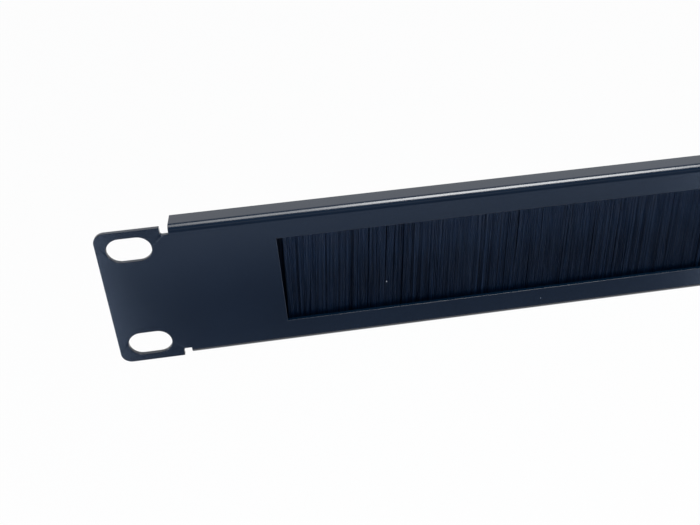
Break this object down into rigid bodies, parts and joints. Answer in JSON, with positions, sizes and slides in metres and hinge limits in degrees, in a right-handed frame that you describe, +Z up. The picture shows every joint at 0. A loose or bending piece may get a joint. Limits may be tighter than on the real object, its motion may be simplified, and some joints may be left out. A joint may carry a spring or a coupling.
{
  "type": "rack brush strip panel",
  "caption": "Folded black sheet-steel panel for a 19-inch rack, with slotted ears and a wide window closed by a hanging strip brush for cables.",
  "frame": {"origin": "centre of the rack hole pattern on the rear face of the ears", "axes": "+X to the right seen from the front, +Y to the back, into the rack, +Z up"},
  "size_m": [0.4826, 0.0082, 0.0436],
  "materials": {
    "black_paint": "fine satin powder coat",
    "black_filament": "smooth plastic filaments",
    "drawn_wire": "drawn",
    "galvanised_steel": "galvanised",
    "mill_aluminium": "mill finish, extruded",
    "zinc_steel": "zinc plated",
    "stud_steel": "copper flashed"
  },
  "bodies": {
    "root": {"front_panel": "black_paint", "bristles": "black_filament", "core_wire": "drawn_wire", "brush_channel": "galvanised_steel", "brush_rail": "mill_aluminium", "left_clip": "zinc_steel", "right_clip": "zinc_steel", "weld_studs": "stud_steel", "washers": "zinc_steel", "lock_nuts": "zinc_steel"}
  },
  "joints": []
}
